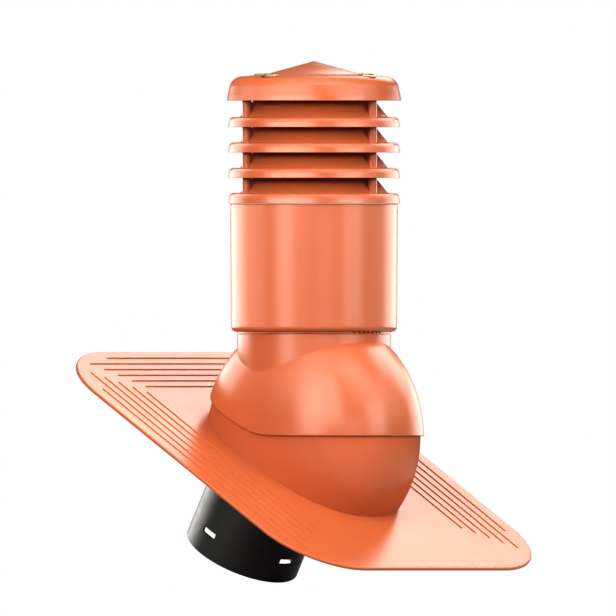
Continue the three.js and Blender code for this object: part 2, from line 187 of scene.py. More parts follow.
# Collar and louvre rings
LOUVRES = ("collar", "louvre_ring_lower", "louvre_ring_middle", "louvre_ring_upper")
COLLAR_HEIGHT = 13.4
COLLAR_SKIRT_WALL = 5.6
RING_HEIGHT = 12.8
RING_RADIUS = 109.5
RING_BAND_HEIGHT = 6.4
RING_BAND_RADIUS = 108.6
RING_SHOULDER_RADIUS = 107
RING_WALL = 2.8
RING_EDGE_ROUND = 6
BAND_CREASE_ROUND = 0.8
RING_LIP_ROUND = 0.5
RING_UNDER_FILLET = 1
CONE_FOOT_RADIUS = 94
CONE_FOOT_FILLET = 1.5
CONE_TOP_RADIUS = 76.5
CONE_TOP_ABOVE_RIM = 21.7
CONE_TOP_ROUND = 1
POST_COUNT = 3
POST_RADIUS = 6
POST_CIRCLE = 92.6
POST_FIRST_ANGLE = math.radians(-8)

# Rain cap and its screws
CAP_BOTTOM = 426.2
CAP_RADIUS = 110.8
CAP_BAND_RADIUS = 109.9
CAP_BAND_HEIGHT = 6.4
CAP_SHOULDER_RADIUS = 104.9
CAP_WALL = 2.8
CAP_SHOULDER_ROUND = 17
CAP_LEVEL_RADIUS = 93.8
CAP_SHOULDER_TOP = 456.5
CAP_BREAK_RADIUS = 61
CAP_BREAK_HEIGHT = 459.7
CAP_BREAK_ROUND = 30
CAP_APEX = 476.5
CAP_LIP_ROUND = 0.6
CAP_ROUND_STEPS = 10
SCREW_NAMES = ("front", "left", "back", "right")
SCREW_CIRCLE = 88
SCREW_FIRST_ANGLE = math.radians(-5.5)
SCREW_TILT = math.radians(6)
SCREW_WASHER_RADIUS = 11.5
SCREW_WASHER_THICKNESS = 1.4
SCREW_WASHER_ROUND = 0.3
SCREW_WASHER_CREST_ROUND = 0.5
SCREW_HEAD_SIDES = 6
SCREW_HEAD_RADIUS = 8
SCREW_HEAD_HEIGHT = 1.5
SCREW_HEAD_CHAMFER = 0.4
SCREW_SHANK_RADIUS = 2.1
SCREW_SHANK_LENGTH = 16
SCREW_POINT_LENGTH = 2
SCREW_PLAIN_LENGTH = 2
SCREW_THREAD_PITCH = 1.8
SCREW_THREAD_DEPTH = 0.5
SCREW_SEAT = 0.6

# Room between pieces that touch, and how far a cutting tool runs past a wall
FIT_GAP = 0.3
CUT_OVERRUN = 10

# The photo's view: level, from the left of the roof's downhill side, with no perspective
VIEW_AZIMUTH = math.radians(-45)
PHOTO_PIXELS = 616
PIXELS_PER_MM = 0.787
SWIVEL_PIXEL = Vector((314, 436))

# Finishes
TERRACOTTA = (0.44, 0.115, 0.042)
BLACK = (0.016, 0.016, 0.0165)
YELLOW_ZINC = (0.86, 0.68, 0.36)
ROSE_ZINC = (0.86, 0.5576, 0.324)
PLASTIC_IOR = 1.5
TERRACOTTA_SPECULAR = 0.62

# The range that a noise texture mostly keeps to
NOISE_LOW = 0.3
NOISE_HIGH = 0.7

# Studio: soft panels at one distance from the middle of the view, in metres.
# Azimuth is to the right of the camera and elevation is up, both in degrees.
PANEL_DISTANCE = 2.5
PANEL_COLOUR = (1, 0.98, 0.93)
EVERYTHING = ()
RIMS = (*LOUVRES, "rain_cap")
WALLS = ("spigot_pipe", "hood", "jacket")
STRAIGHT_WALLS = ("jacket", "rain_cap")
EDGES = (*LOUVRES, *WALLS)
CAP = ("rain_cap",)
PLATE = ("base_plate",)

# Panels by the nodes whose pieces they light: level bands for the lipped rims, tall strips for the smooth
# walls, back panels for the stack's edges. The plate's own low panels leave no mirror image on its flat top.
PANELS = {
    EVERYTHING: {
        "top_left": {"azimuth": -35, "elevation": 56, "width": 1.8, "height": 1.0, "brightness": 2.7},
        "top_right": {"azimuth": 36, "elevation": 56, "width": 1.8, "height": 1.0, "brightness": 3.9},
        "front_left": {"azimuth": -28, "elevation": 36, "width": 1.8, "height": 0.8, "brightness": 3.8},
        "side_left": {"azimuth": -64, "elevation": 30, "width": 0.9, "height": 1.2, "brightness": 1.8},
        "front_right": {"azimuth": 46, "elevation": 36, "width": 2.2, "height": 0.8, "brightness": 2.8},
        "side_right": {"azimuth": 83, "elevation": 26, "width": 1.0, "height": 1.4, "brightness": 1.7},
        "back_plate": {"azimuth": 162, "elevation": 37, "width": 1.1, "height": 1.2, "brightness": 4.2},
        "top": {"azimuth": 0, "elevation": 88, "width": 1.8, "height": 1.8, "brightness": 1.5},
    },
    RIMS: {
        "band_left": {"azimuth": -46, "elevation": 16.5, "width": 1.5, "height": 0.55, "brightness": 11},
        "band_middle": {"azimuth": -15, "elevation": 16.5, "width": 1.4, "height": 0.55, "brightness": 11},
        "band_right": {"azimuth": 50, "elevation": 16.5, "width": 1.6, "height": 0.55, "brightness": 9.6},
    },
    WALLS: {
        "strip_high": {"azimuth": -28, "elevation": 35, "width": 1.8, "height": 0.8, "brightness": 1.8},
        "strip_left": {"azimuth": -40, "elevation": 11, "width": 1.1, "height": 1.3, "brightness": 7.2},
        "strip_middle": {"azimuth": -14, "elevation": 15, "width": 1.1, "height": 1.0, "brightness": 5.0},
        "strip_right": {"azimuth": 54, "elevation": 11, "width": 1.4, "height": 1.3, "brightness": 5.0},
        "far_middle": {"azimuth": 16, "elevation": 3, "width": 1.2, "height": 0.7, "brightness": 2.6},
    },
    STRAIGHT_WALLS: {
        "far_left": {"azimuth": -92, "elevation": 10, "width": 2.0, "height": 1.6, "brightness": 2.3},
        "far_right": {"azimuth": 92, "elevation": 4, "width": 1.2, "height": 0.7, "brightness": 1.2},
    },
    EDGES: {
        "back_left": {"azimuth": -134, "elevation": 4, "width": 2.0, "height": 1.05, "brightness": 4.8},
        "back_left_high": {"azimuth": -134, "elevation": 30, "width": 1.75, "height": 1.2, "brightness": 4},
        "back_right": {"azimuth": 134, "elevation": 4, "width": 2.0, "height": 1.05, "brightness": 4.4},
        "back_right_high": {"azimuth": 126, "elevation": 34, "width": 1.4, "height": 1.4, "brightness": 5.4},
    },
    CAP: {
        "cap_left": {"azimuth": -134, "elevation": 4, "width": 2.0, "height": 1.0, "brightness": 2.0},
        "cap_right": {"azimuth": 134, "elevation": 4, "width": 2.0, "height": 1.0, "brightness": 2.0},
    },
    PLATE: {
        "plate_left": {"azimuth": -30, "elevation": 14, "width": 1.9, "height": 1.3, "brightness": 8.2},
        "plate_right": {"azimuth": 54, "elevation": 12, "width": 1.5, "height": 1.3, "brightness": 8.0},
    },
}

# Room, picture, floor and camera
ROOM_LIGHT = 0.2
PICTURE_GAMMA = 0.8
FLOOR_REACH = 2.4
FLOOR_TONE = 0.8
FLOOR_ROUGHNESS = 0.6
CAMERA_DISTANCE = 3.0


# Mesh making

def rounded(corners, steps=ROUND_STEPS):
    """Points of a closed section whose corners are (radius, height, round)."""
    points = []
    for i, (radius, height, size) in enumerate(corners):
        here = Vector((radius, height))
        if size == 0:
            points.append(here)
            continue
        back = (Vector(corners[i - 1][:2]) - here).normalized()
        ahead = (Vector(corners[(i + 1) % len(corners)][:2]) - here).normalized()
        half = back.angle(ahead) / 2
        centre = here + (back + ahead).normalized() * (size / math.sin(half))
        first = here + back * (size / math.tan(half)) - centre
        last = here + ahead * (size / math.tan(half)) - centre
        points += [centre + first.slerp(last, step / steps) * size for step in range(steps + 1)]
    return points


def mesh_of(name, points, faces):
    mesh = bpy.data.meshes.new(name)
    mesh.from_pydata([tuple(p) for p in points], [], faces)
    mesh.validate()
    return mesh


def lofted(name, loops):
    """A closed ring through loops that all have the same number of points."""
    count = len(loops[0])
    points = [p for loop in loops for p in loop]
    faces = []
    for i in range(len(loops)):
        here = i * count
        there = (i + 1) % len(loops) * count
        for j in range(count):
            k = (j + 1) % count
            faces.append((here + j, there + j, there + k, here + k))
    return mesh_of(name, points, faces)


def turned(name, section, steps=AROUND):
    """A closed section of radius and height turned about +Z."""
    points = []
    rows = []
    for radius, height in section:
        start = len(points)
        if radius < NEARLY_ZERO:
            points.append((0, 0, height))
            rows.append([start] * steps)
            continue
        for i in range(steps):
            angle = 2 * math.pi * i / steps
            points.append((radius * math.cos(angle), radius * math.sin(angle), height))
        rows.append(list(range(start, start + steps)))
    faces = []
    for lower, upper in zip(rows, rows[1:] + rows[:1]):
        for i in range(steps):
            j = (i + 1) % steps
            corners = tuple(dict.fromkeys((lower[i], lower[j], upper[j], upper[i])))
            if len(corners) > 2:
                faces.append(corners)
    return mesh_of(name, points, faces)


def prism(name, outline_at, levels):
    """A closed prism. outline_at(inset) gives its plan, and levels are (inset, height) going up."""
    rows = [[(x, y, height) for x, y in outline_at(inset)] for inset, height in levels]
    count = len(rows[0])
    points = [p for row in rows for p in row]
    faces = [tuple(reversed(range(count)))]
    for level in range(len(rows) - 1):
        low = level * count
        for i in range(count):
            j = (i + 1) % count
            faces.append((low + i, low + j, low + count + j, low + count + i))
    top = (len(rows) - 1) * count
    faces.append(tuple(range(top, top + count)))
    return mesh_of(name, points, faces)


def top_rounding(bottom, top, size, steps=SMALL_ROUND_STEPS):
    """Levels of a prism whose upper edge is rounded."""
    levels = [(0, bottom)]
    for step in range(steps + 1):
        angle = step / steps * math.pi / 2
        levels.append((size * (1 - math.cos(angle)), top - size * (1 - math.sin(angle))))
    return levels


def round_rectangle(width, length, corner, steps=ROUND_STEPS):
    """The plan outline of a rounded rectangle, as a function of how far it is inset."""
    def outline(inset):
        points = []
        reach = corner - inset
        for turn, (sx, sy) in enumerate(((1, 1), (-1, 1), (-1, -1), (1, -1))):
            x = sx * (width / 2 - corner)
            y = sy * (length / 2 - corner)
            for step in range(steps + 1):
                angle = (turn + step / steps) * math.pi / 2
                points.append((x + reach * math.cos(angle), y + reach * math.sin(angle)))
        return points
    return outline


def gathered(name, meshes):
    """Several meshes as one."""
    points = []
    faces = []
    for mesh in meshes:
        start = len(points)
        points += [tuple(v.co) for v in mesh.vertices]
        faces += [tuple(start + i for i in polygon.vertices) for polygon in mesh.polygons]
        bpy.data.meshes.remove(mesh)
    return mesh_of(name, points, faces)


def combined(mesh, tools, operation):
    """The mesh after its closed tools are joined to it (UNION) or cut from it (DIFFERENCE)."""
    name = mesh.name
    body = bpy.data.objects.new(name + "_body", mesh)
    tool = bpy.data.objects.new(name + "_tool", gathered(name + "_tool", tools))
    for made in (body, tool):
        bpy.context.scene.collection.objects.link(made)
    modifier = body.modifiers.new("combine", "BOOLEAN")
    modifier.operation = operation
    modifier.solver = "MANIFOLD"
    modifier.object = tool
    seen = body.evaluated_get(bpy.context.evaluated_depsgraph_get())
    result = bpy.data.meshes.new_from_object(seen)
    for made in (body, tool):
        old = made.data
        bpy.data.objects.remove(made)
        bpy.data.meshes.remove(old)
    result.name = name
    return result


def moved(mesh, matrix):
    mesh.transform(matrix)
    return mesh


ON_ROOF = Matrix.Rotation(ROOF_PITCH, 4, "X") @ Matrix.Scale(MM, 4)
ON_SWIVEL = Matrix.Translation(SWIVEL) @ Matrix.Scale(MM, 4)


def piece(node, mesh, place, body, material):
    """Puts a finished mesh where its plain solid is, in that solid's stead."""
    mesh.transform(place)
    mesh.shade_smooth()
    mesh.set_sharp_from_angle(angle=SHARP_ANGLE)
    mesh.materials.clear()
    mesh.materials.append(material)
    made = bpy.data.objects.new(node + "_finished", mesh)
    bpy.context.scene.collection.objects.link(made)
    normals = made.modifiers.new("even_normals", "WEIGHTED_NORMAL")
    normals.keep_sharp = True
    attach(made, body)
    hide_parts(node)
    return made


def on_circle(radius, angle):
    """A place on a circle about the stack, by the angle from straight down the slope towards -X."""
    return -radius * math.sin(angle), -radius * math.cos(angle)


# Materials

def link(tree, source, socket):
    tree.links.new(source, socket)


def node_of(tree, kind, **values):
    made = tree.nodes.new(kind)
    for key, value in values.items():
        if hasattr(made, key):
            setattr(made, key, value)
        else:
            made.inputs[key.replace("_", " ")].default_value = value
    return made


def noise(tree, coordinates, scale, detail):
    made = node_of(tree, "ShaderNodeTexNoise", Scale=scale, Detail=detail)
    link(tree, coordinates, made.inputs["Vector"])
    return made.outputs["Fac"]


def spread(tree, source, low, high):
    """The middle range of a noise or gradient, spread between two values."""
    made = tree.nodes.new("ShaderNodeMapRange")
    made.inputs["From Min"].default_value = NOISE_LOW
    made.inputs["From Max"].default_value = NOISE_HIGH
    made.inputs["To Min"].default_value = low
    made.inputs["To Max"].default_value = high
    link(tree, source, made.inputs["Value"])
    return made.outputs["Result"]


def between(tree, factor, first, second):
    made = node_of(tree, "ShaderNodeMix", data_type="RGBA")
    colours = [s for s in made.inputs if s.type == "RGBA"]
    colours[0].default_value = (*first, 1)
    colours[1].default_value = (*second, 1)
    link(tree, factor, made.inputs["Factor"])
    return next(s for s in made.outputs if s.type == "RGBA")


def bumped(tree, height, distance, strength):
    made = tree.nodes.new("ShaderNodeBump")
    made.inputs["Distance"].default_value = distance
    made.inputs["Strength"].default_value = strength
    link(tree, height, made.inputs["Height"])
    return made.outputs["Normal"]


def plain_shader(name):
    material = bpy.data.materials.new(name)
    material.use_nodes = True
    tree = material.node_tree
    shader = tree.nodes["Principled BSDF"]
    coordinates = tree.nodes.new("ShaderNodeTexCoord").outputs["Object"]
    return material, tree, shader, coordinates


def tinted(colour, factor):
    return tuple(min(c * factor, 1) for c in colour)


def terracotta_plastic():
    """Glossy through-dyed moulded plastic: faint flow tones, a fine skin and slightly uneven gloss."""
    material, tree, shader, place = plain_shader("terracotta_plastic")
    tone = spread(tree, noise(tree, place, scale=14, detail=4), low=0, high=1)
    gloss = noise(tree, place, scale=30, detail=3)
    skin = noise(tree, place, scale=900, detail=2)
    colour = between(tree, tone, tinted(TERRACOTTA, factor=0.97), tinted(TERRACOTTA, factor=1.03))
    link(tree, colour, shader.inputs["Base Color"])
    link(tree, spread(tree, gloss, low=0.285, high=0.315), shader.inputs["Roughness"])
    link(tree, bumped(tree, skin, distance=0.00002, strength=0.02), shader.inputs["Normal"])
    shader.inputs["IOR"].default_value = PLASTIC_IOR
    shader.inputs["Specular IOR Level"].default_value = TERRACOTTA_SPECULAR
    return material


def black_plastic():
    """Satin black moulded plastic with a fine grained skin."""
    material, tree, shader, place = plain_shader("black_plastic")
    tone = spread(tree, noise(tree, place, scale=25, detail=4), low=0, high=1)
    gloss = noise(tree, place, scale=90, detail=3)
    skin = noise(tree, place, scale=1200, detail=2)
    colour = between(tree, tone, tinted(BLACK, factor=0.85), tinted(BLACK, factor=1.2))
    link(tree, colour, shader.inputs["Base Color"])
    link(tree, spread(tree, gloss, low=0.34, high=0.42), shader.inputs["Roughness"])
    link(tree, bumped(tree, skin, distance=0.00003, strength=0.08), shader.inputs["Normal"])
    shader.inputs["IOR"].default_value = PLASTIC_IOR
    return material


def yellow_zinc():
    """Yellow-passivated zinc plating, drifting between straw and rose gold."""
    material, tree, shader, place = plain_shader("yellow_zinc")
    drift = spread(tree, noise(tree, place, scale=220, detail=3), low=0, high=1)
    gloss = noise(tree, place, scale=500, detail=2)
    skin = noise(tree, place, scale=1500, detail=2)
    link(tree, between(tree, drift, YELLOW_ZINC, ROSE_ZINC), shader.inputs["Base Color"])
    link(tree, spread(tree, gloss, low=0.2, high=0.34), shader.inputs["Roughness"])
    link(tree, bumped(tree, skin, distance=0.0001, strength=0.1), shader.inputs["Normal"])
    shader.inputs["Metallic"].default_value = 1
    return material


# Base plate with its dome, modelled about the plate's centre

def plate_edge(direction, inset):
    """Where a ray from the plate's centre leaves the plate's rounded outline, inset by that much."""
    width = PLATE_WIDTH / 2 - inset
    length = PLATE_LENGTH / 2 - inset
    corner = PLATE_CORNER - inset
    along = direction.normalized()
    reach = min(width / max(abs(along.x), NEARLY_ZERO), length / max(abs(along.y), NEARLY_ZERO))
    hit = along * reach
    centre = Vector((math.copysign(width - corner, along.x), math.copysign(length - corner, along.y)))
    if abs(hit.x) > abs(centre.x) and abs(hit.y) > abs(centre.y):
        middle = along.dot(centre)
        hit = along * (middle + math.sqrt(corner ** 2 - centre.length_squared + middle ** 2))
    return hit


def hole_edge(direction, radius):
    """Where a ray from the plate's centre leaves the spigot's round hole."""
    along = direction.normalized()
    middle = along.y * PIPE_UPHILL_OF_CENTRE
    return along * (middle + math.sqrt(radius ** 2 - PIPE_UPHILL_OF_CENTRE ** 2 + middle ** 2))


def bulb_point(inset, latitude, angle):
    """A point on the hood's bulb, or on one inset from it, seen from the swivel axis."""
    level = math.cos(latitude)
    towards = Vector((level * math.cos(angle), level * math.sin(angle), math.sin(latitude)))
    across = abs(towards.x) / (HOOD_HALF_WIDTH - inset)
    about = math.hypot(towards.y, towards.z) / (HOOD_RADIUS - inset)
    return towards * (across ** BULB_POWER + about ** BULB_POWER) ** (-1 / BULB_POWER)


def bulb_latitude(inset, angle, height, fall=0):
    """Latitude where a plane at that height over the swivel axis, falling up the slope, cuts the bulb."""
    slant = math.tan(fall) * math.sin(angle)
    latitude = math.pi / 2
    for _ in range(BULB_PASSES):
        reach = bulb_point(inset, latitude, angle).length
        latitude = math.asin(height / (reach * math.hypot(1, slant))) - math.atan(slant)
    return latitude


def dome_wall(inset, angle, foot):
    """Points up one wall of the dome, from that height above the plate to its slanting top edge."""
    low = bulb_latitude(inset, angle, foot - SWIVEL_ABOVE_PLATE)
    high = bulb_latitude(inset, angle, DOME_TOP_ABOVE_SWIVEL, DOME_TOP_TILT)
    lift = Vector((0, 0, PLATE_THICKNESS + SWIVEL_ABOVE_PLATE))
    latitudes = [low + (high - low) * i / DOME_STEPS for i in range(DOME_STEPS + 1)]
    return [bulb_point(inset, latitude, angle) + lift for latitude in latitudes]


def quarter(size, steps):
    """Offsets on a quarter round from straight out to straight up."""
    angles = [i / steps * math.pi / 2 for i in range(steps + 1)]
    return [(size * (1 - math.cos(a)), size * (1 - math.sin(a))) for a in angles]


def plate_loop(angle):
    """Section of plate and dome at one side: under, round the edge, up the dome and down inside it."""
    out = Vector((math.cos(angle), math.sin(angle)))
    outer_wall = dome_wall(DOME_INSET, angle, DOME_FOOT_FILLET)
    inner_wall = dome_wall(DOME_INSET + DOME_WALL, angle, 0)
    foot = outer_wall[0].xy
    hole = hole_edge(out, PIPE_RADIUS + FIT_GAP)
    loop = [(*hole, 0)]
    for inset, rise in reversed(quarter(PLATE_UNDER_ROUND, SMALL_ROUND_STEPS)):
        loop.append((*plate_edge(out, inset), rise))
    for inset, drop in quarter(PLATE_TOP_ROUND, PLATE_TOP_ROUND_STEPS):
        loop.append((*plate_edge(out, inset), PLATE_THICKNESS - drop))
    edge = plate_edge(out, PLATE_TOP_ROUND)
    for share in EDGE_TO_DOME_SHARES:
        loop.append((*edge.lerp(foot + out * DOME_FOOT_FILLET, share), PLATE_THICKNESS))
    for rise, run in quarter(DOME_FOOT_FILLET, DOME_FOOT_STEPS):
        loop.append((*(foot + out * run), PLATE_THICKNESS + rise))
    loop += outer_wall[1:] + inner_wall[::-1]
    loop.append((*hole, PLATE_THICKNESS))
    return loop


def rib_end(index):
    return RIB_END_OUTERMOST if index == 0 else RIB_END_SECOND + RIB_END_STEP * (index - 1)


def rib(width, length, x, y):
    """A water rib with round ends, sunk a little into the plate."""
    corner = (min(width, length) - RIB_END_FLAT) / 2
    levels = top_rounding(PLATE_THICKNESS - RIB_SUNK, PLATE_THICKNESS + RIB_HEIGHT, RIB_ROUND)
    made = prism("rib", round_rectangle(width, length, corner), levels)
    return moved(made, Matrix.Translation((x, y, 0)))


def plate_ribs():
    ribs = []
    for i in range(RIB_COUNT):
        side = PLATE_WIDTH / 2 - RIB_SIDE_INSET - RIB_PITCH * i
        side_length = PLATE_LENGTH - 2 * rib_end(i)
        uphill = PLATE_LENGTH / 2 - RIB_UPHILL_INSET - RIB_PITCH * i
        ribs.append(rib(RIB_WIDTH, side_length, side, 0))
        ribs.append(rib(RIB_WIDTH, side_length, -side, 0))
        ribs.append(rib(PLATE_WIDTH - 2 * rib_end(i), RIB_WIDTH, 0, uphill))
    return ribs


def base_plate():
    loops = [plate_loop(2 * math.pi * i / AROUND_PLATE) for i in range(AROUND_PLATE)]
    plate = combined(lofted("base_plate_mesh", loops), plate_ribs(), "UNION")
    return moved(plate, Matrix.Translation((0, ORIGIN_TO_PLATE_CENTRE, 0)))


# Duct spigot

def spigot_pipe():
    inside = PIPE_RADIUS - PIPE_WALL
    end = PLATE_THICKNESS - PIPE_LENGTH_BELOW_PLATE
    seat = PLATE_THICKNESS + FIT_GAP
    top = seat + PIPE_FLANGE_THICKNESS
    section = rounded([
        (PIPE_RADIUS, end, PIPE_END_ROUND),
        (PIPE_RADIUS, seat, 0),
        (PIPE_FLANGE_RADIUS, seat, PIPE_FLANGE_UNDER_ROUND),
        (PIPE_FLANGE_RADIUS, top, PIPE_FLANGE_TOP_ROUND),
        (inside, top, PIPE_FLANGE_TOP_ROUND),
        (inside, end, PIPE_END_ROUND),
    ])
    slots = []
    for i in range(SLOT_COUNT):
        depth = PIPE_WALL + CUT_OVERRUN
        outline = round_rectangle(SLOT_LENGTH, SLOT_HEIGHT, SLOT_CORNER)
        slot = prism("slot", outline, [(0, -depth / 2), (0, depth / 2)])
        slot.transform(Matrix.Rotation(math.pi / 2, 4, "X"))
        slot.transform(Matrix.Translation((0, inside + PIPE_WALL / 2, end + SLOT_ABOVE_END)))
        slots.append(moved(slot, Matrix.Rotation(2 * math.pi * i / SLOT_COUNT, 4, "Z")))
    pipe = combined(turned("spigot_pipe_mesh", section), slots, "DIFFERENCE")
    return moved(pipe, Matrix.Translation((0, ORIGIN_TO_PLATE_CENTRE + PIPE_UPHILL_OF_CENTRE, 0)))


# Hood: a bulb whose wall meets the round neck in a crisp crease

def bulb_radius(angle, height, inset):
    return bulb_point(inset, bulb_latitude(inset, angle, height), angle).xy.length


def crease_height(angle, inset):
    """Height above the swivel axis where the bulb's wall meets the neck's."""
    low = 0
    high = NECK_TOP
    for _ in range(CREASE_PASSES):
        middle = (low + high) / 2
        if bulb_radius(angle, middle, inset) > NECK_RADIUS - inset:
            low = middle
        else:
            high = middle
    return low


def rim_height(y):
    """The lower rim is level down the slope and rises up the slope, with a soft bend between."""
    beyond = y - HOOD_RIM_BEND_AT
    return math.tan(HOOD_RIM_RISE) / 2 * (beyond + math.hypot(beyond, HOOD_RIM_BEND_WIDTH))


def hood_wall(angle, inset):
    """Radius and height up one wall of the hood, from its rim past the crease to the neck's top."""
    rim = 0
    for _ in range(HOOD_RIM_PASSES):
        rim = rim_height(bulb_radius(angle, rim, inset) * math.sin(angle))
    crease = crease_height(angle, inset)
    neck = NECK_RADIUS - inset
    bulb_heights = [rim + (crease - rim) * i / HOOD_STEPS for i in range(HOOD_STEPS)]
    neck_heights = [crease + (NECK_TOP - crease) * i / NECK_STEPS for i in range(NECK_STEPS + 1)]
    bulb_wall = [(bulb_radius(angle, height, inset), height, 0) for height in bulb_heights]
    return bulb_wall + [(neck, height, 0) for height in neck_heights]


def hood_loop(angle):
    outside = hood_wall(angle, 0)
    inside = hood_wall(angle, HOOD_WALL)
    for wall in (outside, inside):
        for end in (0, -1):
            wall[end] = (*wall[end][:2], HOOD_RIM_ROUND)
    section = rounded(outside + inside[::-1], SMALL_ROUND_STEPS)
    return [(p.x * math.cos(angle), p.x * math.sin(angle), p.y) for p in section]


def hood():
    return lofted("hood_mesh", [hood_loop(2 * math.pi * i / AROUND) for i in range(AROUND)])


# Jacket: slightly tapered pipe with a rounded, turned-in lower edge and a notched lip on the neck

def jacket():
    tongue_inside = JACKET_TONGUE_RADIUS - JACKET_TONGUE_WALL
    tongue_end = JACKET_BOTTOM - JACKET_TONGUE_REACH
    floor_top = JACKET_SHOULDER + JACKET_WALL
    section = rounded([
        (JACKET_LIP_RADIUS, JACKET_BOTTOM, JACKET_LIP_ROUND),
        (JACKET_LIP_RADIUS, JACKET_SHOULDER, JACKET_LIP_FILLET),
        (JACKET_RADIUS_BOTTOM, JACKET_SHOULDER, JACKET_EDGE_ROUND),
        (JACKET_RADIUS_TOP, JACKET_TOP, JACKET_TOP_ROUND),
        (JACKET_RADIUS_TOP - JACKET_WALL, JACKET_TOP, JACKET_TOP_INNER_ROUND),
        (JACKET_RADIUS_BOTTOM - JACKET_WALL, floor_top, JACKET_EDGE_ROUND - JACKET_WALL),
        (tongue_inside, floor_top, 0),
        (tongue_inside, tongue_end, JACKET_TONGUE_ROUND),
        (JACKET_TONGUE_RADIUS, tongue_end, JACKET_TONGUE_ROUND),
        (JACKET_TONGUE_RADIUS, JACKET_BOTTOM, 0),
    ])
    notches = []
    for i in range(NOTCH_COUNT):
        outline = round_rectangle(NOTCH_WIDTH, 2 * NOTCH_HEIGHT, NOTCH_CORNER)
        depth = JACKET_LIP_RADIUS - JACKET_TONGUE_RADIUS
        notch = prism("notch", outline, [(0, -depth), (0, depth)])
        notch.transform(Matrix.Rotation(math.pi / 2, 4, "X"))
        notch.transform(Matrix.Translation((0, -JACKET_LIP_RADIUS, JACKET_BOTTOM)))
        turn = (i - (NOTCH_COUNT - 1) / 2) * NOTCH_SPACING
        notches.append(moved(notch, Matrix.Rotation(turn, 4, "Z")))
    return combined(turned("jacket_mesh", section), notches, "DIFFERENCE")


# Collar and louvre rings: a rounded rim with a skirt, an air cone and three posts

def louvre(node, height, skirt_wall, post_top):
    bottom = (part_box(node)[0].z - SWIVEL.z) / MM
    top = bottom + height
    under = top - RING_WALL
    cone_top = top + CONE_TOP_ABOVE_RIM
    slope = (CONE_FOOT_RADIUS - CONE_TOP_RADIUS) / CONE_TOP_ABOVE_RIM
    cone_wall = RING_WALL * math.hypot(1, slope)
    foot_inside = CONE_FOOT_RADIUS - cone_wall + slope * RING_WALL
    section = rounded([
        (RING_RADIUS, bottom, RING_LIP_ROUND),
        (RING_BAND_RADIUS, bottom + RING_BAND_HEIGHT, BAND_CREASE_ROUND),
        (RING_SHOULDER_RADIUS, top, RING_EDGE_ROUND),
        (CONE_FOOT_RADIUS, top, CONE_FOOT_FILLET),
        (CONE_TOP_RADIUS, cone_top, CONE_TOP_ROUND),
        (CONE_TOP_RADIUS - cone_wall, cone_top, CONE_TOP_ROUND),
        (foot_inside, under, CONE_FOOT_FILLET),
        (RING_SHOULDER_RADIUS - skirt_wall, under, RING_UNDER_FILLET),
        (RING_RADIUS - skirt_wall, bottom, RING_LIP_ROUND),
    ])
    post_foot = under + RING_WALL / 2
    post_section = [(0, post_foot), (POST_RADIUS, post_foot), (POST_RADIUS, post_top), (0, post_top)]
    posts = []
    for i in range(POST_COUNT):
        x, y = on_circle(POST_CIRCLE, POST_FIRST_ANGLE + 2 * math.pi * i / POST_COUNT)
        post = turned("post", post_section, AROUND_SMALL)
        posts.append(moved(post, Matrix.Translation((x, y, 0))))
    return combined(turned(node + "_mesh", section), posts, "UNION")


# Rain cap and screws

def cap_section(inset):
    fall = (CAP_BREAK_HEIGHT - CAP_SHOULDER_TOP) / (CAP_LEVEL_RADIUS - CAP_BREAK_RADIUS)
    corner_height = CAP_SHOULDER_TOP - inset - fall * (CAP_SHOULDER_RADIUS - CAP_LEVEL_RADIUS) / 2
    return [
        (CAP_RADIUS - inset, CAP_BOTTOM, CAP_LIP_ROUND),
        (CAP_BAND_RADIUS - inset, CAP_BOTTOM + CAP_BAND_HEIGHT, BAND_CREASE_ROUND),
        (CAP_SHOULDER_RADIUS - inset, corner_height, CAP_SHOULDER_ROUND - inset),
        (CAP_BREAK_RADIUS, CAP_BREAK_HEIGHT - inset, CAP_BREAK_ROUND),
        (0, CAP_APEX - inset, 0),
    ]


def screw_place(index):
    x, y = on_circle(SCREW_CIRCLE, SCREW_FIRST_ANGLE + 2 * math.pi * index / len(SCREW_NAMES))
    fall = (SCREW_CIRCLE - CAP_BREAK_RADIUS) / (CAP_LEVEL_RADIUS - CAP_BREAK_RADIUS)
    height = CAP_BREAK_HEIGHT + (CAP_SHOULDER_TOP - CAP_BREAK_HEIGHT) * fall
    axis = Vector((x, y, 0)).normalized() * math.sin(SCREW_TILT) + Vector((0, 0, math.cos(SCREW_TILT)))
    turn = Vector((0, 0, 1)).rotation_difference(axis).to_matrix().to_4x4()
    return Matrix.Translation((x, y, height)) @ turn


def screw_holes():
    deep = SCREW_SHANK_LENGTH + CAP_WALL
    radius = SCREW_SHANK_RADIUS + FIT_GAP
    section = [(0, -deep), (radius, -deep), (radius, CUT_OVERRUN), (0, CUT_OVERRUN)]
    return [moved(turned("hole", section, AROUND_HOLE), screw_place(i)) for i in range(len(SCREW_NAMES))]


def rain_cap():
    section = rounded(cap_section(0) + cap_section(CAP_WALL)[::-1], CAP_ROUND_STEPS)
    return combined(turned("rain_cap_mesh", section), screw_holes(), "DIFFERENCE")


def screw_thread():
    """Half section of the shank, from its point up through its thread."""
    core = SCREW_SHANK_RADIUS - SCREW_THREAD_DEPTH
    start = SCREW_POINT_LENGTH - SCREW_SHANK_LENGTH
    turns = int((SCREW_SHANK_LENGTH - SCREW_POINT_LENGTH - SCREW_PLAIN_LENGTH) / SCREW_THREAD_PITCH)
    section = [(0, -SCREW_SHANK_LENGTH), (core, start)]
    for i in range(turns):
        root = start + i * SCREW_THREAD_PITCH
        section.append((SCREW_SHANK_RADIUS, root + SCREW_THREAD_PITCH / 2))
        section.append((core, root + SCREW_THREAD_PITCH))
    return section


def hexagon(inset):
    """Plan of the screw's head, inset by that much."""
    reach = SCREW_HEAD_RADIUS - inset
    angles = [2 * math.pi * i / SCREW_HEAD_SIDES for i in range(SCREW_HEAD_SIDES)]
    return [(reach * math.cos(angle), reach * math.sin(angle)) for angle in angles]


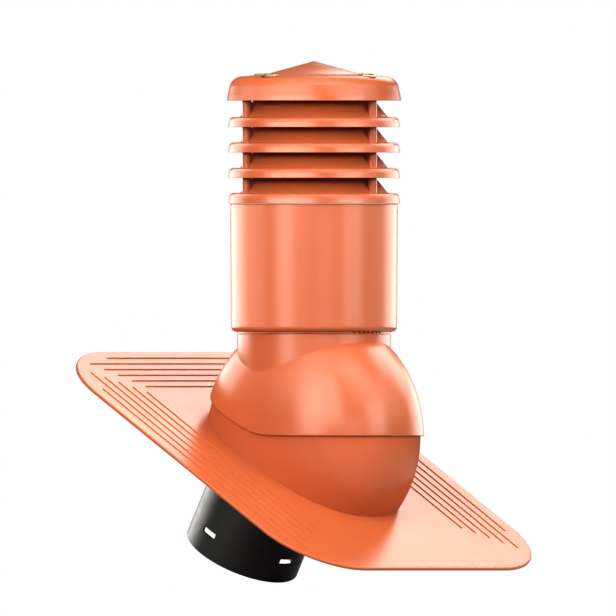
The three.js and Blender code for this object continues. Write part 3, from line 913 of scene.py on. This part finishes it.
def cap_screw():
    washer_top = SCREW_SEAT + SCREW_WASHER_THICKNESS
    washer = rounded([
        (SCREW_SHANK_RADIUS - SCREW_THREAD_DEPTH, SCREW_SEAT, 0),
        (SCREW_WASHER_RADIUS, SCREW_SEAT, SCREW_WASHER_ROUND),
        (SCREW_WASHER_RADIUS, washer_top - SCREW_WASHER_THICKNESS / 2, SCREW_WASHER_ROUND),
        (SCREW_HEAD_RADIUS, washer_top, SCREW_WASHER_CREST_ROUND),
        (0, washer_top, 0),
    ], SMALL_ROUND_STEPS)
    section = screw_thread() + [tuple(p) for p in washer]
    top = washer_top + SCREW_HEAD_HEIGHT
    levels = [(0, washer_top - SCREW_SEAT), (0, top - SCREW_HEAD_CHAMFER), (SCREW_HEAD_CHAMFER, top)]
    head = prism("head", hexagon, levels)
    return combined(turned("cap_screw_mesh", section, AROUND_SMALL), [head], "UNION")


# The pieces

def build():
    terracotta = terracotta_plastic()
    black = black_plastic()
    zinc = yellow_zinc()
    piece("base_plate", base_plate(), ON_ROOF, "roof_base", terracotta)
    piece("spigot_pipe", spigot_pipe(), ON_ROOF, "roof_base", black)

    def stacked(node, mesh):
        piece(node, mesh, ON_SWIVEL, "stack", terracotta)

    stacked("hood", hood())
    stacked("jacket", jacket())
    for i, node in enumerate(LOUVRES):
        height = RING_HEIGHT if i else COLLAR_HEIGHT
        wall = RING_WALL if i else COLLAR_SKIRT_WALL
        top = (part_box(node)[1].z - SWIVEL.z) / MM
        mesh = louvre(node, height, wall, top)
        if node == LOUVRES[-1]:
            mesh = combined(mesh, screw_holes(), "DIFFERENCE")
        stacked(node, mesh)
    stacked("rain_cap", rain_cap())
    for i, side in enumerate(SCREW_NAMES):
        place = ON_SWIVEL @ screw_place(i)
        piece("cap_screw_" + side, cap_screw(), place, "stack", zinc)


# Floor, light and camera

TO_CAMERA = Vector((math.sin(VIEW_AZIMUTH), -math.cos(VIEW_AZIMUTH), 0))
RIGHT = Vector((math.cos(VIEW_AZIMUTH), math.sin(VIEW_AZIMUTH), 0))
UP = Vector((0, 0, 1))


def view_centre():
    """The point of the swivel's upright plane that is in the middle of the photo."""
    off = (Vector((PHOTO_PIXELS, PHOTO_PIXELS)) / 2 - SWIVEL_PIXEL) / PIXELS_PER_MM * MM
    return SWIVEL + RIGHT * off.x - UP * off.y


def floor():
    """A pale floor that fades out towards its edge and throws no coloured bounce on the object."""
    corners = [(-1, -1, 0), (1, -1, 0), (1, 1, 0), (-1, 1, 0)]
    made = bpy.data.objects.new("floor", mesh_of("floor_mesh", corners, [(0, 1, 2, 3)]))
    made.location = (0, 0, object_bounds()[0].z)
    made.scale = (FLOOR_REACH, FLOOR_REACH, 1)
    bpy.context.scene.collection.objects.link(made)
    material, tree, shader, place = plain_shader("pale_floor")
    tone = spread(tree, noise(tree, place, scale=15, detail=3), low=0, high=1)
    pale = (FLOOR_TONE, FLOOR_TONE, FLOOR_TONE)
    link(tree, between(tree, tone, pale, tinted(pale, factor=1.02)), shader.inputs["Base Color"])
    fade = node_of(tree, "ShaderNodeTexGradient", gradient_type="SPHERICAL")
    link(tree, place, fade.inputs["Vector"])
    link(tree, spread(tree, fade.outputs["Fac"], low=0, high=1), shader.inputs["Alpha"])
    shader.inputs["Roughness"].default_value = FLOOR_ROUGHNESS
    made.data.materials.append(material)
    made.visible_diffuse = False
    made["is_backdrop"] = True


def panel(name, nodes, azimuth, elevation, width, height, brightness):
    """A soft light panel that faces the view's middle and lights those nodes' pieces, or everything."""
    side = math.radians(azimuth)
    rise = math.radians(elevation)
    level = TO_CAMERA * math.cos(side) + RIGHT * math.sin(side)
    direction = level * math.cos(rise) + UP * math.sin(rise)
    light = bpy.data.lights.new(name, "AREA")
    light.shape = "RECTANGLE"
    light.color = PANEL_COLOUR
    light.size = width
    light.size_y = height
    light.energy = brightness * math.pi * width * height
    made = bpy.data.objects.new(name, light)
    made.location = view_centre() + direction * PANEL_DISTANCE
    made.rotation_euler = (-direction).to_track_quat("-Z", "Y").to_euler()
    made.visible_camera = False
    made.visible_glossy = nodes != PLATE
    bpy.context.scene.collection.objects.link(made)
    if nodes:
        lit = bpy.data.collections.new(name + "_lights")
        for node in nodes:
            lit.objects.link(bpy.data.objects[node + "_finished"])
        made.light_linking.receiver_collection = lit


def studio_world():
    """White to the eye, and a dim room as light."""
    world = bpy.data.worlds.new("studio")
    bpy.context.scene.world = world
    world.use_nodes = True
    tree = world.node_tree
    tree.nodes.clear()
    room = node_of(tree, "ShaderNodeBackground", Color=(1, 1, 1, 1), Strength=ROOM_LIGHT)
    white = node_of(tree, "ShaderNodeBackground", Color=(1, 1, 1, 1), Strength=1)
    mix = tree.nodes.new("ShaderNodeMixShader")
    link(tree, tree.nodes.new("ShaderNodeLightPath").outputs["Is Camera Ray"], mix.inputs["Fac"])
    link(tree, room.outputs["Background"], mix.inputs[1])
    link(tree, white.outputs["Background"], mix.inputs[2])
    output = tree.nodes.new("ShaderNodeOutputWorld")
    link(tree, mix.outputs["Shader"], output.inputs["Surface"])


def camera():
    data = bpy.data.cameras.new("camera")
    data.type = "ORTHO"
    data.ortho_scale = PHOTO_PIXELS / PIXELS_PER_MM * MM
    made = bpy.data.objects.new("camera", data)
    made.location = view_centre() + TO_CAMERA * CAMERA_DISTANCE
    made.rotation_euler = (-TO_CAMERA).to_track_quat("-Z", "Y").to_euler()
    bpy.context.scene.collection.objects.link(made)
    bpy.context.scene.camera = made


build()
floor()
studio_world()
for lit_nodes, group in PANELS.items():
    for panel_name, panel_values in group.items():
        panel(panel_name, lit_nodes, **panel_values)
camera()
bpy.context.scene.view_settings.view_transform = "Standard"
bpy.context.scene.view_settings.gamma = PICTURE_GAMMA
